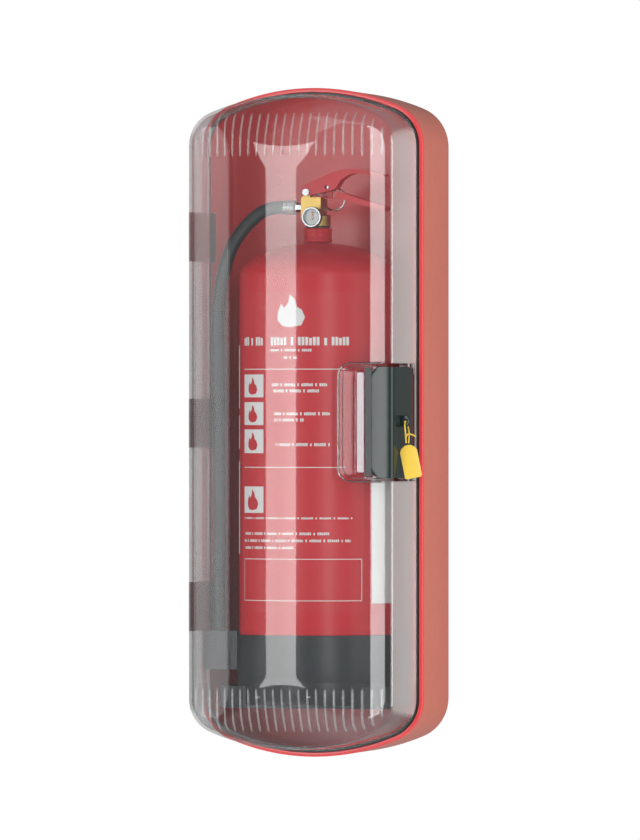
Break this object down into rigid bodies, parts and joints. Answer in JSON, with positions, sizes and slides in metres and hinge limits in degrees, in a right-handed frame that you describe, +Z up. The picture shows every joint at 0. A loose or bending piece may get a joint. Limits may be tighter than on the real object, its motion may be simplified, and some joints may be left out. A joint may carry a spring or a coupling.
{
  "type": "fire extinguisher in wall cabinet",
  "caption": "Water fire extinguisher with squeeze levers, gauge and hose, standing in a red wall cabinet with a clear domed hinged door and a sealed latch handle.",
  "frame": {"origin": "centre of the back face that lies on the wall", "axes": "+Z up along the cabinet, +Y into the wall, +X to the right seen from the front"},
  "size_m": [0.2846, 0.204, 0.765],
  "materials": {
    "red_shell": "satin moulded deep red",
    "red_paint": "gloss powder coat",
    "clear_dome": "clear moulded polycarbonate",
    "black_plastic": "fine texture",
    "dark_handle": "gloss",
    "rubber": "matt",
    "steel": "bright plated",
    "brass": "turned",
    "seal_yellow": "moulded",
    "white_plastic": "printed",
    "needle": "painted",
    "gauge_clear": "clear"
  },
  "bodies": {
    "cabinet": {"back_shell": "red_shell", "door_gasket": "rubber", "base_tray": "black_plastic", "cylinder_cradle": "black_plastic", "cradle_screw_1": "steel", "cradle_screw_2": "steel", "tray_screw_1": "steel", "tray_screw_2": "steel", "latch_keeper": "steel", "hinge_shell_leaf_1": "black_plastic", "hinge_shell_leaf_2": "black_plastic", "hinge_shell_leaf_3": "black_plastic", "hinge_pin_1": "steel", "hinge_pin_2": "steel", "hinge_pin_3": "steel"},
    "door": {"door_cover": "clear_dome", "latch_pin": "steel", "latch_spring": "steel", "hinge_door_leaf_1": "black_plastic", "hinge_door_leaf_2": "black_plastic", "hinge_door_leaf_3": "black_plastic"},
    "latch": {"latch_handle": "dark_handle"},
    "seal": {"seal_strap": "seal_yellow", "seal_tag": "seal_yellow"},
    "extinguisher": {"cylinder": "red_paint", "base_skirt": "black_plastic", "neck_ring": "red_paint", "neck_washer": "rubber", "valve_body": "brass", "valve_spring": "steel", "dip_tube": "white_plastic", "dip_strainer": "black_plastic", "carry_handle": "red_paint", "lever_rivet": "steel", "gauge_case": "steel", "gauge_dial": "white_plastic", "gauge_glass": "gauge_clear", "hose_adapter": "steel", "hose_ferrule": "steel", "discharge_hose": "rubber", "nozzle": "black_plastic", "nozzle_holder": "black_plastic", "front_label": "red_paint", "side_label": "white_plastic"},
    "lever": {"operating_lever": "red_paint"},
    "spindle": {"valve_spindle": "steel"},
    "safety_pin": {"safety_pin": "steel"},
    "pin_ring": {"pin_ring": "steel"},
    "needle": {"gauge_needle": "needle"}
  },
  "joints": [
    {"name": "door_hinge", "type": "hinge", "parent": "cabinet", "child": "door", "pos_m": [-0.1306, -0.1032, 0], "axis": [0, 0, -1], "range_deg": [0, 105]},
    {"name": "latch_pull", "type": "hinge", "parent": "door", "child": "latch", "pos_m": [0.1205, -0.11, 0], "axis": [0, 0, 1], "range_deg": [0, 22], "stiffness_Nm_per_rad": 0.25, "springref_deg": -8.59},
    {"name": "seal_swing", "type": "hinge", "parent": "latch", "child": "seal", "pos_m": [0.13059, -0.148, 0.0014], "axis": [0, 1, 0], "range_deg": [-30, 0]},
    {"name": "lift_out", "type": "slide", "parent": "cabinet", "child": "extinguisher", "axis": [0, 0, 1], "range_m": [0, 0.025]},
    {"name": "lever_squeeze", "type": "hinge", "parent": "extinguisher", "child": "lever", "pos_m": [-0.0035, -0.101, 0.263], "axis": [0, 1, 0], "range_deg": [0, 12], "stiffness_Nm_per_rad": 1.5, "springref_deg": -11.46},
    {"name": "spindle_press", "type": "slide", "parent": "extinguisher", "child": "spindle", "axis": [0, 0, -1], "range_m": [0, 0.0029], "deforming": ["valve_spring"]},
    {"name": "pin_pull", "type": "slide", "parent": "extinguisher", "child": "safety_pin", "axis": [0, 1, 0], "range_m": [0, 0.03]},
    {"name": "ring_swing", "type": "hinge", "parent": "safety_pin", "child": "pin_ring", "pos_m": [0.0209, -0.081, 0.2686], "axis": [1, 0, 0], "range_deg": [-15, 60]},
    {"name": "needle_turn", "type": "hinge", "parent": "extinguisher", "child": "needle", "pos_m": [0.0085, -0.121, 0.2343], "axis": [0, 1, 0], "range_deg": [-100, 60]}
  ],
  "couplings": [
    {"joint": "spindle_press", "follows": "lever_squeeze", "m_per_rad": 0.013846}
  ]
}
